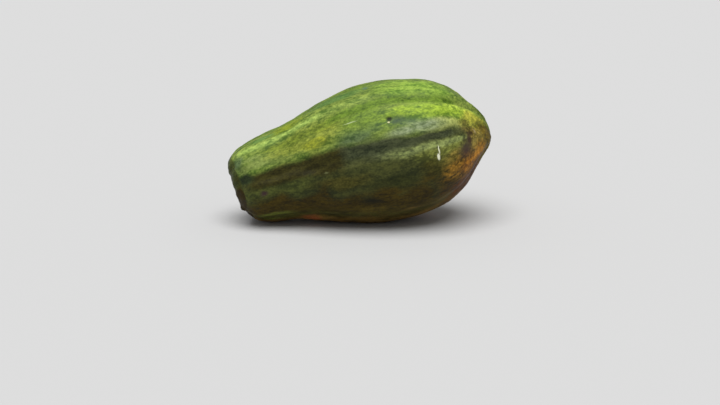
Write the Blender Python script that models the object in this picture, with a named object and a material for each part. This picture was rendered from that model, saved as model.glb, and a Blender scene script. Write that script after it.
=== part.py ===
"""Papaya: one whole fruit lying on its side, grown as a single club-shaped body with lobes and furrows.

The long axis runs from the stalk end at -X to the blossom end at +X and rises towards the blossom end.
The fruit rests on z = 0 on a small flat spot under its belly, with the middle of its box over the origin.
Lengths are millimetres up to the last step, which turns them into metres. Angles are degrees: those round
the fruit start at the front, -Y, and reach 90 on top.
"""

import bmesh
import bpy
import numpy as np

NAME = "papaya"
METRES = 0.001

# Size: the turned body before its lobes, as (distance from the stalk end, radius)
LENGTH = 283.4
BELLY_RADIUS = 75.2
NECK_RADIUS = 44.6
STALK_SCAR = ((6.4, 0.0), (6.2, 4.6), (9.2, 8.4), (4.6, 16.0))
SHOULDER_AND_NECK = ((10.2, 35.0), (28.5, NECK_RADIUS), (60.0, 50.4), (105.0, 64.4))
BELLY = ((165.0, BELLY_RADIUS), (205.0, 72.6))
BLOSSOM_END = ((240.0, 58.8), (262.0, 37.2), (277.0, 18.0), (LENGTH, 0.0))
PROFILE = STALK_SCAR + SHOULDER_AND_NECK + BELLY + BLOSSOM_END

# Pose and bend: the neck droops and the other half lifts away from the straight axis, on either side of
# BEND_AT, and the very tip nods back down
TILT = 9.8
BEND_AT = 150.0
NECK_DROOP = 11.5
TIP_LIFT = 5.5
TIP_NOD, NOD_POWER = 9.0, 20
STALK_END_SLANT = 0.22
SLANT_REACH = 70.0

# Rest: how deep the belly is pressed flat, and the height over which the flat spot blends into it
FLAT_DEPTH = 1.8
FLAT_BLEND = 0.4

# Five broad lobes, shallow on the stalk end's rim and deeper near the blossom end
LOBES = 5
LOBE_HEIGHT = 1.3
LOBE_START = 19.0
STALK_END_GAIN, STALK_END_REACH = -0.8, 12.0
BLOSSOM_END_GAIN, BLOSSOM_END_REACH = 0.9, 40.0
POLE_FADE = 9.0
POLE_WIDENING = 14.0

# Furrows along the fruit, as (angle, depth, half width, drift of the angle at the blossom end). A negative
# depth is a raised rib.
FURROWS = (
    (19.0, 2.4, 8.0, 6.0),
    (52.0, 2.0, 5.0, 2.0),
    (64.0, -0.6, 3.5, 0.0),
    (91.0, 1.3, 8.0, -4.0),
    (128.0, 0.9, 5.0, 0.0),
    (163.0, 2.4, 8.0, 5.0),
    (199.0, 1.2, 5.0, -5.0),
    (236.0, 2.2, 8.0, 4.0),
    (308.0, 2.2, 8.0, -4.0),
)
DRIFT_FROM, DRIFT_REACH = 190.0, 90.0
WAVE_ANGLE, WAVE_LENGTH, WAVE_STEP = 2.0, 30.0, 2.1

# Mesh: points round the fruit, rings along it, and how much closer the rings lie near the two ends
SIDES = 90
RINGS = 52
CROWDING = 0.55

# Skin
SKIN_COLOUR = (0.115, 0.190, 0.035, 1.0)
SKIN_ROUGHNESS = 0.45


def natural_spline(knots, values, at):
    """A cubic curve with no kink in its bend, through values at knots, read at the places in at."""
    count = len(knots)
    gap = np.diff(knots)
    slope = np.diff(values) / gap
    rows = np.eye(count)
    right = np.zeros(count)
    for i in range(1, count - 1):
        rows[i, i - 1 : i + 2] = gap[i - 1], 2 * (gap[i - 1] + gap[i]), gap[i]
        right[i] = 6 * (slope[i] - slope[i - 1])
    bend = np.linalg.solve(rows, right)
    i = np.clip(np.searchsorted(knots, at) - 1, 0, count - 2)
    before = knots[i + 1] - at
    after = at - knots[i]
    straight = (values[i] * before + values[i + 1] * after) / gap[i]
    curved = bend[i] * (before**3 / gap[i] - gap[i] * before) + bend[i + 1] * (after**3 / gap[i] - gap[i] * after)
    return straight + curved / 6


def turned_profile(share):
    """Distance along the axis and radius at a share, 0 at the stalk scar to 1 at the tip, of the outline.

    The outline is mirrored across the axis past each end, so that it meets the axis squarely there.
    """
    mirrored = 3
    points = np.array(PROFILE)
    flipped = points * (1, -1)
    points = np.vstack((flipped[mirrored:0:-1], points, flipped[-2 : -2 - mirrored : -1]))
    steps = np.hypot(*np.diff(points, axis=0).T)
    knots = np.concatenate(([0.0], np.cumsum(steps)))
    first, last = knots[mirrored], knots[-1 - mirrored]
    at = first + share * (last - first)
    return natural_spline(knots, points[:, 0], at), natural_spline(knots, points[:, 1], at)


def outward_normal(share):
    """The outline's unit normal at a share, as its parts along the axis and away from it."""
    step = 0.001
    along_after, out_after = turned_profile(share + step)
    along_before, out_before = turned_profile(share - step)
    rise = along_after - along_before
    spread = out_after - out_before
    size = np.hypot(rise, spread)
    return -spread / size, rise / size


def bell(offset, width):
    """A smooth bump of height 1 at offset 0."""
    return np.exp(-((offset / width) ** 2))


def relief(along, out, angle):
    """Height of the lobes less the depth of the furrows, fading to nothing at the two poles."""
    height = LOBE_HEIGHT * (1 - np.cos(np.radians(LOBES * (angle - LOBE_START)))) / 2
    blossom_share = np.clip((along - DRIFT_FROM) / DRIFT_REACH, 0, 1)
    widening = 1 + POLE_WIDENING / (out + POLE_FADE)
    for number, (start, deep, wide, drift) in enumerate(FURROWS):
        path = start + drift * blossom_share**2 + WAVE_ANGLE * np.sin(along / WAVE_LENGTH + WAVE_STEP * number)
        offset = (angle - path + 180) % 360 - 180
        height = height - deep * bell(offset, wide * widening)
    gain = 1 + STALK_END_GAIN * bell(along, STALK_END_REACH)
    gain = gain + BLOSSOM_END_GAIN * bell(along - LENGTH, BLOSSOM_END_REACH)
    return height * gain * (out / (out + POLE_FADE)) ** 2


def axis_height(along):
    """How far the bent axis lies above the straight one on either side of BEND_AT.

    The neck's side is a parabola. The other rises with the cube of its share and nods at the very tip.
    """
    neck = -NECK_DROOP * ((BEND_AT - along) / BEND_AT) ** 2
    tip_share = (along - BEND_AT) / (LENGTH - BEND_AT)
    tip = TIP_LIFT * tip_share**3 - TIP_NOD * tip_share**NOD_POWER
    return np.where(along < BEND_AT, neck, tip)


def pressed_flat(z):
    """Heights above the floor, with the lowest FLAT_DEPTH of them pressed to 0 through a short blend."""
    z = z - z.min() - FLAT_DEPTH
    blend = (z + FLAT_BLEND) ** 2 / (4 * FLAT_BLEND)
    return np.where(z < -FLAT_BLEND, 0.0, np.where(z < FLAT_BLEND, blend, z))


def fruit_points(share, angle):
    """Points of the skin in metres, from shares of the outline and angles round the fruit."""
    along, out = turned_profile(share)
    axial, radial = outward_normal(share)
    height = relief(along, out, angle)
    along = along + height * axial
    out = out + height * radial
    up = out * np.sin(np.radians(angle))
    slant = STALK_END_SLANT * np.clip(1 - along / SLANT_REACH, 0, 1) ** 2
    lifted = axis_height(along) + up
    along = along - slant * up
    tilt = np.radians(TILT)
    x = along * np.cos(tilt) - lifted * np.sin(tilt)
    y = -out * np.cos(np.radians(angle))
    z = pressed_flat(along * np.sin(tilt) + lifted * np.cos(tilt))
    x = x - (x.min() + x.max()) / 2
    y = y - (y.min() + y.max()) / 2
    return np.stack((x, y, z), axis=-1) * METRES


def skin_material():
    """Green ripening papaya skin: waxy and smooth, neither glossy nor dull."""
    material = bpy.data.materials.new("papaya_skin")
    material.use_nodes = True
    shader = material.node_tree.nodes["Principled BSDF"]
    shader.inputs["Base Color"].default_value = SKIN_COLOUR
    shader.inputs["Roughness"].default_value = SKIN_ROUGHNESS
    shader.inputs["Metallic"].default_value = 0.0
    return material


def fruit_mesh():
    """A sphere whose latitudes become places along the outline and whose longitudes go round the fruit."""
    ball = bmesh.new()
    bmesh.ops.create_uvsphere(ball, u_segments=SIDES, v_segments=RINGS, radius=1.0)
    mesh = bpy.data.meshes.new(NAME)
    ball.to_mesh(mesh)
    ball.free()
    sphere = np.empty(len(mesh.vertices) * 3)
    mesh.vertices.foreach_get("co", sphere)
    x, y, z = sphere.reshape(-1, 3).T
    even = np.arccos(np.clip(z, -1, 1)) / np.pi
    share = (1 - CROWDING) * even + CROWDING * (1 - np.cos(np.pi * even)) / 2
    angle = np.degrees(np.arctan2(y, x))
    mesh.vertices.foreach_set("co", fruit_points(share, angle).ravel())
    mesh.shade_smooth()
    mesh.update()
    return mesh


def main():
    for old in list(bpy.data.objects):
        bpy.data.objects.remove(old, do_unlink=True)
    group = bpy.data.collections.new(NAME)
    bpy.context.scene.collection.children.link(group)
    fruit = bpy.data.objects.new(NAME, fruit_mesh())
    fruit.data.materials.append(skin_material())
    group.objects.link(fruit)


main()
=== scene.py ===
"""Looks of the papaya: one grown skin with lobes, furrows, streaks, blush, dried latex and blemishes.

The fruit lies on z = 0 along X, with the stalk end at -X. The shape functions work in millimetres, and the
mesh is in metres. Angles round the fruit are degrees: 0 at the front, -Y, and 90 on top. The shape repeats
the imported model's own formula on a finer grid, with its front furrow a little lower, and adds small dents,
ripples, creases and scars.
"""

from collections import namedtuple

import bpy
import numpy as np
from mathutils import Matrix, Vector


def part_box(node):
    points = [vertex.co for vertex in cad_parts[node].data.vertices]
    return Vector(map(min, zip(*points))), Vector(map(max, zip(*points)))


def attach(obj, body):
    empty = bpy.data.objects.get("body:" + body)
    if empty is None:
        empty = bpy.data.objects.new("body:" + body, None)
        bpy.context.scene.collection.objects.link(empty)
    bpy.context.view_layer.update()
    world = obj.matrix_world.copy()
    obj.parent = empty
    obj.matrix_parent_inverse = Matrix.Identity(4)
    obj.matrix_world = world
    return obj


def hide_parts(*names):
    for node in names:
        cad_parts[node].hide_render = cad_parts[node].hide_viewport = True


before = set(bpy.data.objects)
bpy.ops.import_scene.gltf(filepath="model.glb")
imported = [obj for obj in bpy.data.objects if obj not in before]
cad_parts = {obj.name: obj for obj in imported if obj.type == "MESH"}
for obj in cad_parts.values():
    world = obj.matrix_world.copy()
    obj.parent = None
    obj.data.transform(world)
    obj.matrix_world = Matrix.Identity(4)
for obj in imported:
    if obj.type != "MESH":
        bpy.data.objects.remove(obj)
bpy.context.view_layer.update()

METRES = 0.001

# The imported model's shape, in millimetres and degrees
LENGTH = 283.4
BELLY_RADIUS = 75.2
NECK_RADIUS = 44.6
STALK_SCAR = ((6.4, 0.0), (6.2, 4.6), (9.2, 8.4), (4.6, 16.0))
SHOULDER_AND_NECK = ((10.2, 35.0), (28.5, NECK_RADIUS), (60.0, 50.4), (105.0, 64.4))
BELLY = ((165.0, BELLY_RADIUS), (205.0, 72.6))
BLOSSOM_END = ((240.0, 58.8), (262.0, 37.2), (277.0, 18.0), (LENGTH, 0.0))
PROFILE = STALK_SCAR + SHOULDER_AND_NECK + BELLY + BLOSSOM_END
TILT = 9.8
BEND_AT = 150.0
NECK_DROOP = 11.5
TIP_LIFT = 5.5
TIP_NOD, NOD_POWER = 9.0, 20
STALK_END_SLANT = 0.22
SLANT_REACH = 70.0
FLAT_DEPTH = 1.8
FLAT_BLEND = 0.4
LOBES = 5
LOBE_HEIGHT = 1.3
LOBE_START = 19.0
STALK_END_GAIN, STALK_END_REACH = -0.8, 12.0
BLOSSOM_END_GAIN, BLOSSOM_END_REACH = 0.9, 40.0
POLE_FADE = 9.0
POLE_WIDENING = 14.0
DRIFT_FROM, DRIFT_REACH = 190.0, 90.0
WAVE_ANGLE, WAVE_LENGTH, WAVE_STEP = 2.0, 30.0, 2.1

# Furrows: the angle, depth, half width and drift at the blossom end. Number 0 is the front one, 1 the upper
# groove and 5 the back one.
FURROWS = (
    (19.0, 2.4, 8.0, 6.0),
    (52.0, 2.0, 5.0, 2.0),
    (64.0, -0.6, 3.5, 0.0),
    (91.0, 1.3, 8.0, -4.0),
    (128.0, 0.9, 5.0, 0.0),
    (163.0, 2.4, 8.0, 5.0),
    (199.0, 1.2, 5.0, -5.0),
    (236.0, 2.2, 8.0, 4.0),
    (308.0, 2.2, 8.0, -4.0),
)
FRONT, GROOVE, BACK = 0, 1, 5
HIGH_FURROWS = (3, 4)
LOW_FURROWS = (5, 6, 7, 8)

# The front furrow lies FRONT_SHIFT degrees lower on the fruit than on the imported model. The shift has a
# start and an end along the fruit, and fades over a length at both.
FRONT_SHIFT = 6.0
SHIFT_RUN = (16, 272, 50)

# The furrow's darkest line: its angle on the neck, how far it climbs on the belly, and where
PATH_ANGLE, PATH_CLIMB = 15.0, 1.2
CLIMB_RUN = (185, 215)

# The fine grid
SIDES = 320
RINGS = 296
CROWDING = 0.45

# Unevenness is a sum of WAVES sines, with their lengths spread over a range of shares of its width
WAVES, WAVE_SPREAD = 28, (0.75, 1.5)

# Unevenness of the skin: its height, what is added to that on the neck, its width, the seed of its chances,
# and how many times as long down the fruit as wide it is
UNEVENNESS = (
    (0.35, 0.0, 42.0, 1, 1.0),
    (0.12, 0.22, 10.0, 2, 5.0),
    (0.05, 0.0, 3.6, 3, 1.6),
)
NECK_TO_BELLY = (70, 150)

# Small relief starts and is whole at these distances from the axis, so that the poles stay closed
RELIEF_FROM = (3, 14)

# A stripe along the fruit: how strongly it covers or how high it stands, how many degrees below its guide
# line it lies, its half width in degrees, and where it starts and ends, with the length it fades over
Stripe = namedtuple("Stripe", "strength below width start end fade")
FRONT_CREASE = Stripe(-0.5, 2.0, 2.5, 150, 240, 25)
GROOVE_CREASE = Stripe(-1.1, 1.5, 2.2, 205, 290, 35)
GROOVE_CREST = Stripe(0.7, 5.6, 2.4, 235, 290, 25)

# The stalk's scar, as (height, distance from the axis, width) of its rim, of its star-shaped cracks and of
# the pit in its middle
SCAR_RIM = (0.7, 6.6, 1.1)
SCAR_CRACKS = (-0.8, 3.6, 1.8)
SCAR_PIT = (-0.6, 0.0, 1.2)
CRACK_SHARPNESS = 8

# A corky knob low on the stalk end's rim: its place, its width and how far it stands out
KNOB_ALONG, KNOB_ANGLE, KNOB_OUT = 4.6, -38.0, 28.0
KNOB_WIDTH, KNOB_HEIGHT = 3.6, 3.4

# The skin's colours from the first laid down to the last: the darker and the paler of its flecks, the ovals
# it covers, as (distance from the stalk end, angle, half length in mm, half width in degrees), and how
# strongly. A zone with no ovals has its place from a formula, and two zones have both.
Zone = namedtuple("Zone", "dark pale ovals strength", defaults=(1.0,))
ZONES = {
    # The lower half in its own olive, brown and rust, painted darker as painted shade, and at the very
    # bottom paler, partly as painted light from below
    "flank": Zone("#2D3219", "#494C24", ()),
    "neck_flank": Zone("#383F1C", "#555B29", ((46, -4, 38, 11), (60, 184, 34, 10))),
    # Painted shade on the belly below the front and the back furrow
    "flank_shade": Zone("#242910", "#3A3D1B", ((166, -16, 24, 6), (150, 206, 26, 8))),
    "brown_flank": Zone("#373611", "#535022", ((112, -7, 24, 6), (212, -9, 15, 9))),
    "olive_cheek": Zone("#44491F", "#7F853D", ((236, 1, 18, 11), (203, 4, 22, 5), (228, 178, 22, 11))),
    "underside": Zone("#2A2208", "#473B0F", ()),
    "belly": Zone("#5E4A1E", "#7E6230", ()),
    "brown_belly": Zone("#3A3210", "#5C4E1A", ((150, -46, 34, 8), (120, 236, 30, 9))),
    "lower_lobe": Zone("#464D1D", "#707A30", ((38, -50, 19, 10), (40, 228, 19, 12))),
    "rust": Zone("#6C4522", "#B06438", ((79, -62, 9, 8), (200, 262, 12, 8))),
    # The upper half in its own greens and yellows, painted lighter as painted light from above
    "upper": Zone("#465E22", "#839442", ()),
    "high_yellow": Zone("#4D6114", "#808F29", ((70, 80, 20, 15), (160, 104, 30, 12))),
    "high_green": Zone("#47682A", "#6C8A45", ((127, 79, 30, 8), (43, 71, 10, 5), (90, 112, 30, 10))),
    "high_lime": Zone("#557627", "#8CA843", ((205, 68, 36, 13), (215, 112, 34, 13))),
    "margin": Zone("#5B6C31", "#84944C", ((50, 33, 50, 6.5), (27, 44, 12, 4), (62, 151, 52, 6))),
    "yellow": Zone("#5B6A24", "#929C40", ((90, 40, 38, 13), (120, 138, 40, 12))),
    "gold": Zone("#69762A", "#A0A632", ((107, 45.5, 13, 4), (94, 33, 12, 4), (128, 139, 14, 7))),
    "teal": Zone(
        "#3B4E2D", "#5F7245", ((138, 29, 20, 6.5), (16, 49, 6, 12), (160, 32, 15, 5), (100, 152, 20, 6))
    ),
    # Stripes along the furrows and between them, partly the skin's own greens and partly painted light and
    # shade: painted shade in the furrows, a painted highlight along the ridge, a pale painted sheen above
    # two furrows and a band below each furrow, partly painted light
    "neck_groove": Zone("#4A591C", "#7A892F", ()),
    "groove": Zone("#3A5314", "#69832B", ((148, 42, 24, 10),), 0.6),
    "lime": Zone("#4D6925", "#89A33B", ()),
    "bright_lime": Zone(
        "#5E7A22", "#9BB53A", ((186, 42, 12, 4), (222, 38, 22, 5), (245, 41, 15, 6.5), (210, 139, 18, 6))
    ),
    "crest": Zone("#889F38", "#C6DE54", ()),
    "dull_lime": Zone("#667238", "#ACB460", ((226, 24, 17, 6.5),)),
    # A pale grey-green painted sheen above the front and the back furrow
    "painted_sheen": Zone("#6A7858", "#99A67F", ((184, 24, 20, 3.5), (208, 26, 18, 5.5), (190, 154, 26, 6)), 0.55),
    # A pale painted highlight along the ridge above the front
    "ridge": Zone("#7A9846", "#ACC361", ()),
    # Painted shade in all the furrows, and in and round the front furrow on the neck
    "furrows": Zone("#302F14", "#4D4B22", ()),
    "front_furrow": Zone("#282F1E", "#484E33", ()),
    "neck_furrow": Zone("#25230C", "#3C3915", ()),
    # Painted shade on the stalk end's shoulder, where the front and the back furrow start
    "collar_shade": Zone("#1F2816", "#353F24", ((18, 20, 10, 8), (18, 164, 10, 8))),
    # A paler band below each furrow, partly painted light on the wall that faces up
    "band": Zone("#4E5732", "#8A9556", ()),
    # The blush round the blossom end, with painted shade on its lower rim
    "tan": Zone("#544B1B", "#96853D", ((265, 2, 15, 26), (233, -6, 11, 6), (265, 178, 15, 26))),
    # The brown lower rim near the tip, its own blush darkened as painted shade
    "blush_rim_shade": Zone("#382206", "#643B0C", ((253, -52, 27, 26), (253, 232, 27, 26))),
    "blush": Zone("#4A380F", "#A07629", ((245, -20, 25, 13), (250, 211, 22, 16), (266, -98, 12, 26))),
    "rose": Zone("#6F4811", "#C8892B", ((250, -24, 12, 8), (247, 216, 10, 13), (262, 192, 8, 9))),
    "gilt": Zone("#7C8029", "#C6C54B", ((268, 31, 15, 11.5), (268, 130, 16, 30))),
    "tip": Zone("#3F3504", "#75631A", ()),
    "tip_groove": Zone("#5A6A2E", "#869843", ()),
    # The flat stalk end in its olive brown, painted darker as painted shade and darker still below, and the
    # two scars
    "face": Zone("#30391A", "#4E5726", ()),
    "lower_face": Zone("#1D1600", "#352903", ()),
    "stalk": Zone("#463822", "#9C8A66", ()),
    "navel": Zone("#2C2013", "#5C472C", ()),
}

# Waves that make the zones' edges uneven: their width, the seed of their chances, and their stretch
EDGE_WAVES = (22.0, 11, 1.6)

# An oval covers fully to OVAL_CORE of its size and ends at OVAL_EDGE of it, with an uneven edge
OVAL_UNEVEN, OVAL_CORE, OVAL_EDGE = 0.16, 0.15, 1.55

# Places of the other zones: a pair is where a change starts and where it is complete, and a run of three
# is where a zone starts and ends along the fruit and the length it fades over. Down and up are sines of the
# angle, and uneven is how far the waves move an edge.
UNDERSIDE_DOWN, UNDERSIDE_UNEVEN = (0.20, 0.68), 0.10
BELLY_DOWN, BELLY_UNEVEN = (0.72, 0.97), 0.05

# The upper half starts at the front and the back furrow, in degrees from each, and stops at UPPER_DOWN
UPPER_FRONT, UPPER_BACK, UPPER_UNEVEN = (-6.0, 11.0), (-2.0, 15.0), 1.3
UPPER_DOWN = 0.5

# Shade in the furrows, most of all in the upper groove, and the stripes beside that groove
LOW_FURROW_COVER, HIGH_FURROW_COVER = 0.55, 0.5
SHADED_GROOVE = Stripe(1.0, 1.0, 4.5, 100, 284, 30)
BESIDE_GROOVE = {
    "neck_groove": Stripe(1.0, 3.5, 4.5, 30, 140, 30),
    "crest": Stripe(0.6, 7.3, 3.0, 226, 262, 14),
    "bright_lime": Stripe(1.0, 6.5, 2.4, 232, 290, 14),
    "tip_groove": Stripe(1.0, 0.5, 5.0, 240, 292, 14),
}

# The yellow-green stripe above the front furrow: the angles of its two edges, its run, its share on the
# neck and where it grows to the whole, and then the like stripe behind
LIME_LOW_EDGE, LIME_HIGH_EDGE, LIME_RUN = (25, 36), (41, 49), (115, 284, 24)
LIME_NECK_SHARE, LIME_BELLY = 0.2, (150, 190)
BACK_LIME_ANGLE, BACK_LIME_WIDTH, BACK_LIME_UNEVEN = 140, 7.0, 1.5
BACK_LIME_RUN = (120, 270, 50)

# The painted highlight along the ridge above the front: its cover and angle, how far it dips and over what
# length, and its half width, which grows towards the stalk end. It goes on faintly past its end.
RIDGE_COVER, RIDGE_ANGLE = 0.5, 60.8
RIDGE_DIP, DIP_AT, DIP_LENGTH = 2.2, 48, 14
RIDGE_WIDTH, RIDGE_WIDENING, WIDENING_LENGTH = 3.0, 2.5, 45
RIDGE_RUN, FAINT_RIDGE_COVER, FAINT_RIDGE_RUN = (10, 112, 12), 0.35, (100, 168, 18)

# The dark line of painted shade in the front furrow: its half width on the neck, how much narrower it gets
# on the belly and wider again at its end, and how far it rises and how much it fades there
LINE_WIDTH, LINE_NARROWING, LINE_WIDENING, LINE_UNEVEN = 6.6, 3.6, 3.4, 0.4
LINE_RISE, LINE_FADE = 2.0, 0.6
NARROWING_RUN, LINE_END, LINE_RUN = (165, 205), (222, 244), (100, 258, 24)

# The wide brown painted shade round that line on the neck, and the same round the back furrow
SHADE_LOW_EDGE, SHADE_HIGH_EDGE, SHADE_RUN = (-2, 7), (13, 27), (12, 128, 20)
BACK_SHADE_ANGLE, BACK_SHADE_WIDTH = 163, 8

# The paler band just below each furrow, partly painted light on the furrow's wall that faces up
BAND_BELOW, BAND_WIDTH, BAND_START, BAND_END = 7.4, 2.8, (145, 205), (238, 260)
BACK_BAND_ANGLE, BACK_BAND_WIDTH = 172.5, 3.3

# The brown tip, thinner on top, and the flat stalk end, painted darker as painted shade and darker still
# below
TIP_ALONG, TIP_UNEVEN, TIP_THINNING, TIP_UP = (262, 277), 2.0, 0.8, (0.25, 0.6)
FACE_ALONG, FACE_UNEVEN = (9.5, 13.5), 0.8
LOWER_FACE_UP, LOWER_FACE_UNEVEN = (-0.2, 0.8), 0.2

# The stalk's scar and the blossom's: the distances from the axis where each is whole and where it ends
STALK_OUT = (7.5, 10.5)
NAVEL_OUT = (2.0, 4.4)

# Marks on the skin: where each is, its size across and along, how soft and how ragged its edge is, its
# colour and how strongly it covers, and the height of its bump
Mark = namedtuple("Mark", "along angle across down soft ragged colour strength height")
MARKS = {
    "bruise": Mark(181.0, 33.8, 4.2, 8.0, 0.9, 5.0, "#42533F", 0.85, -0.8),
    "bruise_tail": Mark(193.0, 31.5, 2.6, 7.0, 0.9, 5.0, "#4F6150", 0.5, -0.3),
    "puncture": Mark(173.5, 36.2, 2.3, 2.9, 0.6, 2.0, "#272B23", 0.95, -1.7),
    "chip": Mark(172.3, 33.4, 0.8, 1.2, 0.4, 1.0, "#D2C9A0", 0.85, 0.2),
    "scratch": Mark(134.0, 40.2, 0.5, 5.5, 0.8, 2.0, "#B9C596", 0.7, 0.1),
    "pale_nick": Mark(101.0, 2.6, 0.8, 2.0, 0.8, 1.5, "#70734A", 0.6, 0.1),
    "grey_spot": Mark(157.0, 79.0, 3.4, 2.6, 0.9, 3.0, "#4C6659", 0.7, -0.3),
    "latex_run": Mark(217.9, 3.8, 4.4, 0.65, 0.5, 1.3, "#D9DABC", 0.95, 0.35),
    "latex_drop": Mark(216.2, -1.6, 3.3, 1.4, 0.4, 1.3, "#DEDFC4", 1.0, 0.5),
    "blemish": Mark(247.0, -5.0, 7.4, 6.6, 0.9, 4.5, "#3F2F2D", 0.92, -0.3),
    "blemish_arm": Mark(253.0, 4.0, 5.6, 2.6, 0.8, 3.5, "#3A2A22", 0.9, -0.3),
    "pit": Mark(257.0, 11.5, 2.6, 3.4, 0.9, 4.0, "#332615", 0.95, -0.5),
    "second_pit": Mark(253.0, 26.0, 2.0, 4.0, 0.9, 5.0, "#4B431F", 0.7, -0.3),
    "tip_streak": Mark(262.0, 12.5, 2.4, 0.8, 0.8, 2.0, "#97896A", 0.6, 0.1),
    "neck_spot": Mark(34.0, -6.0, 2.4, 3.4, 0.9, 3.0, "#38262A", 0.95, -0.2),
    "smudge": Mark(142.0, -28.5, 4.4, 8.5, 0.9, 5.0, "#1B1A0E", 0.9, -0.2),
    "second_latex": Mark(150.0, 150.0, 4.5, 0.8, 0.5, 1.5, "#D9DABC", 0.9, 0.3),
}

# A mark goes MARK_REACH deep, and its ragged edge comes from a noise of this scale and detail
MARK_REACH = 20.0
RAGGED_SCALE, RAGGED_DETAIL = 0.45, 3.0

# The middle of a noise's values
NOISE_MIDDLE = 0.5

# Patterns of flecks: the width in mm, how many times as long down the fruit, the noise's detail, and how
# much each adds to the mottling. The finest is drawn about twice as coarse as the real grain of the skin.
PATTERNS = {
    "blotch": (22.0, 2.0, 2.0, 1.2),
    "streak": (7.5, 4.0, 2.0, 1.5),
    "fleck": (3.4, 2.4, 2.0, 2.0),
    "grain": (1.7, 1.4, 1.0, 0.9),
}

# How fully a zone covers what lies under it, how much the flecks add to or take from that, and how much the
# finest grain lightens and darkens the skin
CORE, SPECKLE = 1.5, 2.6
GRAIN = 0.6

# The skin's finish: its roughness between the smoothest and the roughest flecks, its weak mirror sheen, and
# its bumps, as the pattern, how strong they are and their height in metres
FLECK_RANGE, ROUGHNESS = 0.25, (0.42, 0.58)
SHEEN = 0.1
BUMPS = (("fleck", 0.5, 0.0004), ("grain", 0.4, 0.0002))

# Camera and light
CAMERA_AZIMUTH = -4.0
CAMERA_ELEVATION = 14.0
CAMERA_DISTANCE = 1.092
CAMERA_LENS = 50.0
CAMERA_AIM = (0.0, 0.0, 0.0189)
SKY_GREY = 0.36
FLOOR_GREY = 0.50
FLOOR_HALF = 15.0
SUN_STRENGTH = 3.6
SUN_WIDTH = 55.0
SUN_FROM = (-0.05, -0.30, 1.0)


def natural_spline(knots, values, at):
    """A cubic curve with no kink in its bend, through values at knots, read at the places in at."""
    count = len(knots)
    gap = np.diff(knots)
    slope = np.diff(values) / gap
    rows = np.eye(count)
    right = np.zeros(count)
    for i in range(1, count - 1):
        rows[i, i - 1 : i + 2] = gap[i - 1], 2 * (gap[i - 1] + gap[i]), gap[i]
        right[i] = 6 * (slope[i] - slope[i - 1])
    bend = np.linalg.solve(rows, right)
    i = np.clip(np.searchsorted(knots, at) - 1, 0, count - 2)
    before = knots[i + 1] - at
    after = at - knots[i]
    straight = (values[i] * before + values[i + 1] * after) / gap[i]
    curved = bend[i] * (before**3 / gap[i] - gap[i] * before)
    curved = curved + bend[i + 1] * (after**3 / gap[i] - gap[i] * after)
    return straight + curved / 6


def turned_profile(share):
    """Distance along the axis and radius at a share, 0 at the stalk scar to 1 at the tip, of the outline.

    The outline is mirrored across the axis past each end, so that it meets the axis squarely there.
    """
    mirrored = 3
    points = np.array(PROFILE)
    flipped = points * (1, -1)
    points = np.vstack((flipped[mirrored:0:-1], points, flipped[-2 : -2 - mirrored : -1]))
    steps = np.hypot(*np.diff(points, axis=0).T)
    knots = np.concatenate(([0.0], np.cumsum(steps)))
    first, last = knots[mirrored], knots[-1 - mirrored]
    at = first + share * (last - first)
    return natural_spline(knots, points[:, 0], at), natural_spline(knots, points[:, 1], at)


def outward_normal(share):
    """The outline's unit normal at a share, as its parts along the axis and away from it."""
    step = 0.001
    along_after, out_after = turned_profile(share + step)
    along_before, out_before = turned_profile(share - step)
    rise = along_after - along_before
    spread = out_after - out_before
    size = np.hypot(rise, spread)
    return -spread / size, rise / size


def bell(offset, width):
    """A smooth bump of height 1 at offset 0."""
    return np.exp(-((offset / width) ** 2))


def smooth_step(value, low, high):
    """0 below low, 1 above high and an even S-curve between."""
    share = np.clip((value - low) / (high - low), 0, 1)
    return share * share * (3 - 2 * share)


def between(value, start, end, blend):
    """1 between start and end and 0 outside, with each edge blended inwards over a length."""
    return smooth_step(value, start, start + blend) * (1 - smooth_step(value, end - blend, end))


def wrapped(angle):
    """The same angle between -180 and 180."""
    return (angle + 180) % 360 - 180


def furrow_offset(number, along, angle):
    """Degrees from a furrow's wandering path, which drifts towards the blossom end."""
    start, _, _, drift = FURROWS[number]
    blossom_share = np.clip((along - DRIFT_FROM) / DRIFT_REACH, 0, 1)
    path = start + drift * blossom_share**2 + WAVE_ANGLE * np.sin(along / WAVE_LENGTH + WAVE_STEP * number)
    return wrapped(angle - path)


def front_path(along):
    """The angle of the front furrow's darkest line, which climbs a little on the belly."""
    return PATH_ANGLE + PATH_CLIMB * smooth_step(along, *CLIMB_RUN)


def stripe_share(stripe, offset, along):
    """A stripe's cover or height: a bell of the degrees from its middle, times its run along the fruit."""
    run = between(along, stripe.start, stripe.end, stripe.fade)
    return stripe.strength * bell(offset + stripe.below, stripe.width) * run


def relief(along, out, angle):
    """Height of the lobes less the depth of the furrows, fading to nothing at the two poles."""
    height = LOBE_HEIGHT * (1 - np.cos(np.radians(LOBES * (angle - LOBE_START)))) / 2
    widening = 1 + POLE_WIDENING / (out + POLE_FADE)
    for number, (_, deep, wide, _) in enumerate(FURROWS):
        height = height - deep * bell(furrow_offset(number, along, angle), wide * widening)
    gain = 1 + STALK_END_GAIN * bell(along, STALK_END_REACH)
    gain = gain + BLOSSOM_END_GAIN * bell(along - LENGTH, BLOSSOM_END_REACH)
    return height * gain * (out / (out + POLE_FADE)) ** 2


def axis_height(along):
    """How far the bent axis lies above the straight one on either side of BEND_AT.

    The neck's side is a parabola. The other rises with the cube of its share and nods at the very tip.
    """
    neck = -NECK_DROOP * ((BEND_AT - along) / BEND_AT) ** 2
    tip_share = (along - BEND_AT) / (LENGTH - BEND_AT)
    tip = TIP_LIFT * tip_share**3 - TIP_NOD * tip_share**NOD_POWER
    return np.where(along < BEND_AT, neck, tip)


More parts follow.
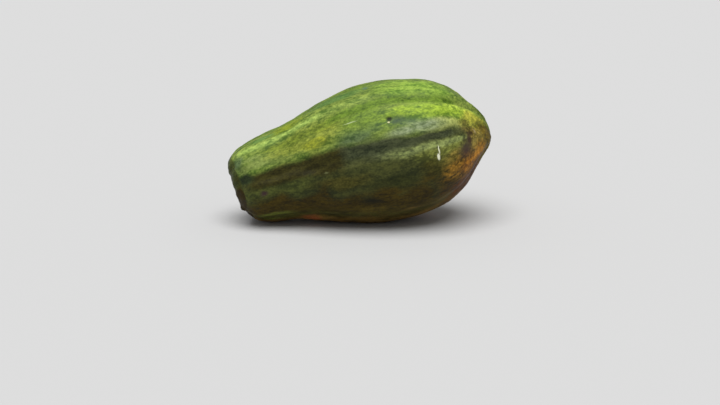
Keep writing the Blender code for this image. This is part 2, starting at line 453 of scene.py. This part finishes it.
def pressed_flat(z):
    """Heights above the floor, with the lowest FLAT_DEPTH of them pressed to 0 through a short blend."""
    z = z - z.min() - FLAT_DEPTH
    blend = (z + FLAT_BLEND) ** 2 / (4 * FLAT_BLEND)
    return np.where(z < -FLAT_BLEND, 0.0, np.where(z < FLAT_BLEND, blend, z))


def ripples(skin, width, seed, stretch):
    """Smooth unevenness of about -1 to 1: a sum of plane waves in chance directions, about width apart.

    Each wave is a sine of the distance along its own direction, with its own length and start. stretch
    makes the ripples that many times as long down the fruit as they are wide.
    """
    chance = np.random.default_rng(seed)
    direction = chance.normal(size=(WAVES, 3))
    direction /= np.linalg.norm(direction, axis=1, keepdims=True)
    direction *= (1, 1, 1 / stretch)
    turns = 2 * np.pi / (width * chance.uniform(*WAVE_SPREAD, WAVES))
    phase = chance.uniform(0, 2 * np.pi, WAVES)
    total = np.zeros(skin.shape[:-1])
    for wave in range(WAVES):
        total += np.sin(skin @ direction[wave] * turns[wave] + phase[wave])
    return total / np.sqrt(WAVES / 2)


def mark_centre(mark):
    """A mark's middle in skin coordinates: the fruit untilted and unbent, its axis along the third."""
    past_the_scar = np.linspace(0.1, 1, 400)
    along, out = turned_profile(past_the_scar)
    radius = float(np.interp(mark.along, along, out))
    turn = np.radians(mark.angle)
    return np.array((radius * np.cos(turn), radius * np.sin(turn), mark.along))


def mark_bump(skin, mark):
    """A bump over a mark, 1 in its middle, as wide and as long as the mark says."""
    turn = np.radians(mark.angle)
    offset = skin - mark_centre(mark)
    inward = offset @ (np.cos(turn), np.sin(turn), 0)
    sideways = offset @ (-np.sin(turn), np.cos(turn), 0)
    return bell(inward, MARK_REACH) * bell(sideways, mark.across) * bell(offset[..., 2], mark.down)


def scar_relief(out, angle):
    """The stalk's scar: a rim round a disc that dried into star-shaped cracks."""
    parts = (SCAR_RIM, SCAR_CRACKS, SCAR_PIT)
    rim, cracks, pit = (high * bell(out - middle, wide) for high, middle, wide in parts)
    star = np.cos(np.radians(angle * 2 * LOBES)) ** CRACK_SHARPNESS
    return rim + cracks * star + pit


def small_relief(skin, along, out, angle):
    """What the coarse solid leaves out: unevenness, the furrow's shift, creases, the knob and marks."""
    neck_share = 1 - smooth_step(along, *NECK_TO_BELLY)
    height = np.zeros_like(angle)
    for everywhere, on_neck, width, seed, stretch in UNEVENNESS:
        height += (everywhere + on_neck * neck_share) * ripples(skin, width, seed, stretch)
    front = furrow_offset(FRONT, along, angle)
    _, deep, wide, _ = FURROWS[FRONT]
    shifted = deep * (bell(front, wide) - bell(front + FRONT_SHIFT, wide))
    height += shifted * between(along, *SHIFT_RUN)
    height += stripe_share(FRONT_CREASE, angle - front_path(along), along)
    groove = furrow_offset(GROOVE, along, angle)
    height += stripe_share(GROOVE_CREASE, groove, along)
    height += stripe_share(GROOVE_CREST, groove, along)
    turn = np.radians(KNOB_ANGLE)
    knob = skin - (KNOB_OUT * np.cos(turn), KNOB_OUT * np.sin(turn), KNOB_ALONG)
    height += KNOB_HEIGHT * bell(np.linalg.norm(knob, axis=-1), KNOB_WIDTH)
    for mark in MARKS.values():
        height += mark.height * mark_bump(skin, mark)
    stalk_end = along < LENGTH / 2
    return height * smooth_step(out, *RELIEF_FROM) + scar_relief(out, angle) * stalk_end


def ovals(zone, along, angle, uneven):
    """The zone's strength within its ovals and 0 outside them, with soft uneven edges.

    What counts is the distance from an oval's middle in its own half sizes, and the oval nearest by that.
    """
    cover = np.zeros_like(angle)
    for middle, turn, length, width in zone.ovals:
        reach = np.hypot((along - middle) / length, wrapped(angle - turn) / width)
        cover = np.maximum(cover, 1 - smooth_step(reach + OVAL_UNEVEN * uneven, OVAL_CORE, OVAL_EDGE))
    return zone.strength * cover


def furrow_share(numbers, along, angle):
    """How deep in any of these furrows each place is, 1 on a furrow's path."""
    return sum(bell(furrow_offset(number, along, angle), FURROWS[number][2]) for number in numbers)


def halves(along, angle, uneven):
    """The whole skin first, then its underside, its belly and the greener half above both side furrows.

    The underside is painted darker as painted shade, the belly paler brown, partly as painted light from
    below, and the upper half lighter as painted light from above.
    """
    down = -np.sin(np.radians(angle))
    above_front = furrow_offset(FRONT, along, angle) + UPPER_UNEVEN * uneven
    above_back = UPPER_UNEVEN * uneven - furrow_offset(BACK, along, angle)
    above = smooth_step(above_front, *UPPER_FRONT) * smooth_step(above_back, *UPPER_BACK)
    return {
        "flank": np.ones_like(angle),
        "underside": smooth_step(UNDERSIDE_UNEVEN * uneven + down, *UNDERSIDE_DOWN),
        "belly": smooth_step(BELLY_UNEVEN * uneven + down, *BELLY_DOWN),
        "upper": above * (down < UPPER_DOWN),
    }


def lime_stripes(along, angle, uneven):
    """The yellow-green stripe above the front furrow, stronger on the belly, and a like one behind."""
    ragged = angle + uneven
    front = smooth_step(ragged, *LIME_LOW_EDGE) * (1 - smooth_step(ragged, *LIME_HIGH_EDGE))
    on_belly = LIME_NECK_SHARE + (1 - LIME_NECK_SHARE) * smooth_step(along, *LIME_BELLY)
    front = front * between(along, *LIME_RUN) * on_belly
    back = bell(wrapped(angle - BACK_LIME_ANGLE) + BACK_LIME_UNEVEN * uneven, BACK_LIME_WIDTH)
    return np.maximum(front, back * between(along, *BACK_LIME_RUN))


def ridge_stripe(along, angle):
    """A painted highlight along the neck's ridge, which dips once and widens towards the stalk end."""
    path = RIDGE_ANGLE - RIDGE_DIP * bell(along - DIP_AT, DIP_LENGTH)
    width = RIDGE_WIDTH + RIDGE_WIDENING * bell(along, WIDENING_LENGTH)
    run = between(along, *RIDGE_RUN) + FAINT_RIDGE_COVER * between(along, *FAINT_RIDGE_RUN)
    return RIDGE_COVER * bell(angle - path, width) * run


def furrow_stripes(along, angle, uneven):
    """The dark line of painted shade in the front furrow, the brown painted shade round it on the neck and
    the paler band below, partly painted light.
    """
    path = front_path(along)
    at_end = smooth_step(along, *LINE_END)
    width = LINE_WIDTH - LINE_NARROWING * smooth_step(along, *NARROWING_RUN) + LINE_WIDENING * at_end
    line = bell(angle - path - LINE_RISE * at_end + LINE_UNEVEN * uneven, width)
    ragged = angle + uneven
    shade = smooth_step(ragged, *SHADE_LOW_EDGE) * (1 - smooth_step(ragged, *SHADE_HIGH_EDGE))
    back_shade = bell(wrapped(angle - BACK_SHADE_ANGLE), BACK_SHADE_WIDTH)
    band = bell(angle - path + BAND_BELOW + LINE_UNEVEN * uneven, BAND_WIDTH)
    back_band = bell(wrapped(angle - BACK_BAND_ANGLE) + LINE_UNEVEN * uneven, BACK_BAND_WIDTH)
    band_run = smooth_step(along, *BAND_START) * (1 - smooth_step(along, *BAND_END))
    return {
        "front_furrow": line * between(along, *LINE_RUN) * (1 - LINE_FADE * at_end),
        "neck_furrow": (shade + back_shade) * between(along, *SHADE_RUN),
        "band": (band + back_band) * band_run,
    }


def ends(along, out, angle, uneven):
    """The tip, the flat stalk end with its darker lower part, both painted shade, and the two scars."""
    up = np.sin(np.radians(angle))
    tip = smooth_step(along + TIP_UNEVEN * uneven, *TIP_ALONG)
    face = 1 - smooth_step(along + FACE_UNEVEN * uneven, *FACE_ALONG)
    stalk_end = along < LENGTH / 2
    return {
        "tip": tip * (1 - TIP_THINNING * smooth_step(up, *TIP_UP)),
        "face": face,
        "lower_face": face * (1 - smooth_step(up + LOWER_FACE_UNEVEN * uneven, *LOWER_FACE_UP)),
        "stalk": (1 - smooth_step(out, *STALK_OUT)) * stalk_end,
        "navel": (1 - smooth_step(out, *NAVEL_OUT)) * (1 - stalk_end),
    }


def zone_masks(skin, along, out, angle):
    """Where each zone of the skin is, 0 to 1, in the order of ZONES. Ripples make the edges uneven."""
    uneven = ripples(skin, *EDGE_WAVES)
    masks = {name: ovals(zone, along, angle, uneven) for name, zone in ZONES.items()}
    masks |= halves(along, angle, uneven) | ends(along, out, angle, uneven)
    masks |= furrow_stripes(along, angle, uneven)
    masks["furrows"] = LOW_FURROW_COVER * np.clip(furrow_share(LOW_FURROWS, along, angle), 0, 1)
    masks["lime"] = lime_stripes(along, angle, uneven)
    masks["ridge"] = ridge_stripe(along, angle)
    groove = furrow_offset(GROOVE, along, angle)
    shaded = stripe_share(SHADED_GROOVE, groove, along)
    shaded = shaded + HIGH_FURROW_COVER * furrow_share(HIGH_FURROWS, along, angle)
    masks["groove"] = np.maximum(masks["groove"], shaded)
    for name, stripe in BESIDE_GROOVE.items():
        masks[name] = np.maximum(masks[name], stripe_share(stripe, groove, along))
    return masks


def fruit_surface():
    """The whole skin as rings of points in metres, with the skin coordinates and masks of each point.

    Ring by ring and side by side it is the turned outline, moved out along its normal by the relief, then
    bent, slanted at the stalk end, tilted and pressed flat where it rests.
    """
    even = np.linspace(0, 1, RINGS)[:, None]
    share = (1 - CROWDING) * even + CROWDING * (1 - np.cos(np.pi * even)) / 2
    angle = np.linspace(-180, 180, SIDES, endpoint=False)[None, :] + np.zeros_like(share)
    along, out = turned_profile(share + np.zeros_like(angle))
    axial, radial = outward_normal(share)
    turn = np.radians(angle)
    skin = np.stack((out * np.cos(turn), out * np.sin(turn), along), axis=-1)
    masks = zone_masks(skin, along, out, angle)
    height = relief(along, out, angle) + small_relief(skin, along, out, angle)
    along = along + height * axial
    out = out + height * radial
    up = out * np.sin(turn)
    slant = STALK_END_SLANT * np.clip(1 - along / SLANT_REACH, 0, 1) ** 2
    lifted = axis_height(along) + up
    along = along - slant * up
    tilt = np.radians(TILT)
    x = along * np.cos(tilt) - lifted * np.sin(tilt)
    y = -out * np.cos(turn)
    z = pressed_flat(along * np.sin(tilt) + lifted * np.cos(tilt))
    low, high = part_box("papaya")
    x += (low.x + high.x) / (2 * METRES) - (x.min() + x.max()) / 2
    y += (low.y + high.y) / (2 * METRES) - (y.min() + y.max()) / 2
    return np.stack((x, y, z), axis=-1) * METRES, skin, masks


def with_poles(values):
    """A grid's rings in one row, the first and the last ring each as a single point."""
    inner = values[1:-1].reshape((-1,) + values.shape[2:])
    return np.concatenate((values[:1, 0], inner, values[-1:, 0]))


def closed_grid(name, points, skin, masks):
    """A mesh of rings that close at both poles, with skin and the masks as attributes of its points.

    Point 0 is the first pole, the inner rings' points follow ring by ring, and the last point is the other
    pole. Each four-sided face joins two neighbours of a ring to the same two of the next.
    """
    rings, sides = points.shape[:2]
    side = np.arange(sides)
    after = (side + 1) % sides
    ring = 1 + sides * np.arange(rings - 3)[:, None]
    last = 1 + sides * (rings - 3)
    quads = np.stack((ring + side, ring + sides + side, ring + sides + after, ring + after), axis=-1)
    first_fan = np.stack((np.zeros_like(side), 1 + side, 1 + after), axis=-1)
    last_fan = np.stack((np.full_like(side, last + sides), last + after, last + side), axis=-1)
    faces = first_fan.tolist() + quads.reshape(-1, 4).tolist() + last_fan.tolist()
    mesh = bpy.data.meshes.new(name)
    mesh.from_pydata(with_poles(points).tolist(), [], faces)
    layer = mesh.attributes.new("skin", "FLOAT_VECTOR", "POINT")
    layer.data.foreach_set("vector", with_poles(skin).ravel().astype(np.float32))
    for mask, values in masks.items():
        layer = mesh.attributes.new(mask, "FLOAT", "POINT")
        layer.data.foreach_set("value", with_poles(values).astype(np.float32))
    mesh.shade_smooth()
    mesh.update()
    return mesh


def linear(code):
    """A colour for a shader from an sRGB hex value such as "#5E8A1E"."""
    values = np.array([int(code[i : i + 2], 16) for i in (1, 3, 5)]) / 255
    values = np.where(values <= 0.04045, values / 12.92, ((values + 0.055) / 1.055) ** 2.4)
    return (*values.tolist(), 1.0)


def add(tree, kind, inputs, **settings):
    """Adds a node of this kind with its settings, and links or sets its inputs."""
    node = tree.nodes.new(kind)
    for name, value in settings.items():
        setattr(node, name, value)
    for name, value in inputs.items():
        if isinstance(value, bpy.types.NodeSocket):
            tree.links.new(value, node.inputs[name])
        else:
            node.inputs[name].default_value = value
    return node


# A Mix node's factor, its two colours and its mixed colour, by their places among its sockets
FACTOR, FIRST, SECOND, MIXED = 0, 6, 7, 2


def flecks(tree, skin):
    """Each chance pattern on its own, and all of them added up into the skin's mottling, around 0.5."""
    found = {}
    mottle = 0.5
    for name, (width, stretch, detail, weight) in PATTERNS.items():
        scale = (1 / width, 1 / width, 1 / (width * stretch))
        place = add(tree, "ShaderNodeVectorMath", {0: skin, 1: scale}, operation="MULTIPLY").outputs[0]
        inputs = {"Vector": place, "Scale": 1.0, "Detail": detail}
        noise = add(tree, "ShaderNodeTexNoise", inputs).outputs[0]
        inputs = {0: noise, 1: NOISE_MIDDLE}
        centred = add(tree, "ShaderNodeMath", inputs, operation="SUBTRACT").outputs[0]
        inputs = {0: centred, 1: weight, 2: mottle}
        mottle = add(tree, "ShaderNodeMath", inputs, operation="MULTIPLY_ADD").outputs[0]
        found[name] = centred
    return found, mottle


def mark_cover(tree, ragged_skin, mark):
    """A mark's strength inside it and 0 outside, by the distance from its middle in its own sizes."""
    inputs = {0: ragged_skin, 1: tuple(mark_centre(mark))}
    offset = add(tree, "ShaderNodeVectorMath", inputs, operation="SUBTRACT").outputs[0]
    inputs = {"Vector": offset, "Angle": -np.radians(mark.angle)}
    turned = add(tree, "ShaderNodeVectorRotate", inputs, rotation_type="Z_AXIS").outputs[0]
    scale = (1 / MARK_REACH, 1 / mark.across, 1 / mark.down)
    scaled = add(tree, "ShaderNodeVectorMath", {0: turned, 1: scale}, operation="MULTIPLY").outputs[0]
    distance = add(tree, "ShaderNodeVectorMath", {0: scaled}, operation="LENGTH").outputs[1]
    inputs = {"Value": distance, "From Min": 1 + mark.soft, "From Max": 1 - mark.soft}
    inputs["To Max"] = mark.strength
    return add(tree, "ShaderNodeMapRange", inputs, interpolation_type="SMOOTHSTEP").outputs[0]


def papaya_skin():
    """Ripening papaya skin, grown: a thin waxy hide with green, yellow and orange flecks.

    The flecks are a few millimetres wide and longer down the fruit than across. A zone spreads into the
    next by its flecks. The wax gives a wide dull sheen, with no sharp highlight. The colours also hold
    painted shade, on the lower half, in the furrows and on the stalk end, and painted light, on the upper
    half, along the ridge, as a sheen above two furrows and on the band below each furrow.
    """
    material = bpy.data.materials.new("ripening_papaya_skin")
    material.use_nodes = True
    tree = material.node_tree
    shader = tree.nodes["Principled BSDF"]
    skin = add(tree, "ShaderNodeAttribute", {}, attribute_name="skin").outputs["Vector"]
    found, mottle = flecks(tree, skin)

    inputs = {0: found["fleck"], 1: SPECKLE, 2: CORE}
    speckle = add(tree, "ShaderNodeMath", inputs, operation="MULTIPLY_ADD").outputs[0]
    colour = linear(ZONES["flank"].dark)
    for name, zone in ZONES.items():
        inputs = {FACTOR: mottle, FIRST: linear(zone.dark), SECOND: linear(zone.pale)}
        mottled = add(tree, "ShaderNodeMix", inputs, data_type="RGBA").outputs[MIXED]
        mask = add(tree, "ShaderNodeAttribute", {}, attribute_name=name).outputs["Fac"]
        inputs = {0: mask, 1: speckle}
        cover = add(tree, "ShaderNodeMath", inputs, operation="MULTIPLY", use_clamp=True).outputs[0]
        inputs = {FACTOR: cover, FIRST: colour, SECOND: mottled}
        colour = add(tree, "ShaderNodeMix", inputs, data_type="RGBA").outputs[MIXED]

    inputs = {0: found["grain"], 1: GRAIN, 2: 1.0}
    brightness = add(tree, "ShaderNodeMath", inputs, operation="MULTIPLY_ADD").outputs[0]
    inputs = {0: colour, "Scale": brightness}
    colour = add(tree, "ShaderNodeVectorMath", inputs, operation="SCALE").outputs[0]

    inputs = {"Vector": skin, "Scale": RAGGED_SCALE, "Detail": RAGGED_DETAIL}
    chance = add(tree, "ShaderNodeTexNoise", inputs).outputs[1]
    inputs = {0: chance, 1: (NOISE_MIDDLE,) * 3}
    centred = add(tree, "ShaderNodeVectorMath", inputs, operation="SUBTRACT").outputs[0]
    for mark in MARKS.values():
        inputs = {0: centred, 1: (mark.ragged,) * 3, 2: skin}
        ragged = add(tree, "ShaderNodeVectorMath", inputs, operation="MULTIPLY_ADD").outputs[0]
        inputs = {FACTOR: mark_cover(tree, ragged, mark), FIRST: colour, SECOND: linear(mark.colour)}
        colour = add(tree, "ShaderNodeMix", inputs, data_type="RGBA").outputs[MIXED]
    tree.links.new(colour, shader.inputs["Base Color"])

    inputs = {"Value": found["fleck"], "From Min": -FLECK_RANGE, "From Max": FLECK_RANGE}
    inputs["To Min"], inputs["To Max"] = ROUGHNESS
    roughness = add(tree, "ShaderNodeMapRange", inputs).outputs[0]
    tree.links.new(roughness, shader.inputs["Roughness"])
    shader.inputs["Specular IOR Level"].default_value = SHEEN

    # Each bump stands on the one before it
    below = {}
    for pattern, strength, distance in BUMPS:
        inputs = {"Strength": strength, "Distance": distance, "Height": found[pattern]} | below
        below = {"Normal": add(tree, "ShaderNodeBump", inputs).outputs[0]}
    tree.links.new(below["Normal"], shader.inputs["Normal"])
    return material


def papaya():
    """The whole fruit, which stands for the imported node."""
    mesh = closed_grid("papaya_skin", *fruit_surface())
    mesh.materials.append(papaya_skin())
    fruit = bpy.data.objects.new("papaya_skin", mesh)
    bpy.context.scene.collection.objects.link(fruit)
    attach(fruit, "root")
    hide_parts("papaya")


def floor():
    """A wide plain floor in matt grey paint, which the light makes pale."""
    mesh = bpy.data.meshes.new("floor")
    half = FLOOR_HALF
    corners = [(-half, -half, 0), (half, -half, 0), (half, half, 0), (-half, half, 0)]
    mesh.from_pydata(corners, [], [(0, 1, 2, 3)])
    material = bpy.data.materials.new("matt_floor_paint")
    material.use_nodes = True
    shader = material.node_tree.nodes["Principled BSDF"]
    shader.inputs["Base Color"].default_value = (FLOOR_GREY, FLOOR_GREY, FLOOR_GREY, 1.0)
    shader.inputs["Roughness"].default_value = 1.0
    shader.inputs["Specular IOR Level"].default_value = 0.0
    mesh.materials.append(material)
    ground = bpy.data.objects.new("floor", mesh)
    bpy.context.scene.collection.objects.link(ground)


def light():
    """A wide soft sun from above and a little in front, under an even sky."""
    lamp = bpy.data.lights.new("soft_sun", "SUN")
    lamp.energy = SUN_STRENGTH
    lamp.angle = np.radians(SUN_WIDTH)
    sun = bpy.data.objects.new("soft_sun", lamp)
    sun.rotation_euler = Vector(SUN_FROM).to_track_quat("Z", "Y").to_euler()
    bpy.context.scene.collection.objects.link(sun)
    world = bpy.data.worlds.new("even_sky")
    world.use_nodes = True
    world.node_tree.nodes["Background"].inputs["Color"].default_value = (SKY_GREY, SKY_GREY, SKY_GREY, 1.0)
    bpy.context.scene.world = world
    bpy.context.scene.view_settings.view_transform = "Standard"


def camera():
    """The photograph's view: nearly side on, a little towards the stalk end, looking gently down."""
    azimuth = np.radians(CAMERA_AZIMUTH)
    elevation = np.radians(CAMERA_ELEVATION)
    level = np.cos(elevation)
    away = Vector((np.sin(azimuth) * level, -np.cos(azimuth) * level, np.sin(elevation)))
    lens = bpy.data.cameras.new("view")
    lens.lens = CAMERA_LENS
    eye = bpy.data.objects.new("view", lens)
    eye.location = Vector(CAMERA_AIM) + away * CAMERA_DISTANCE
    eye.rotation_euler = away.to_track_quat("Z", "Y").to_euler()
    bpy.context.scene.collection.objects.link(eye)
    bpy.context.scene.camera = eye


papaya()
floor()
light()
camera()

bpy.context.view_layer.update()
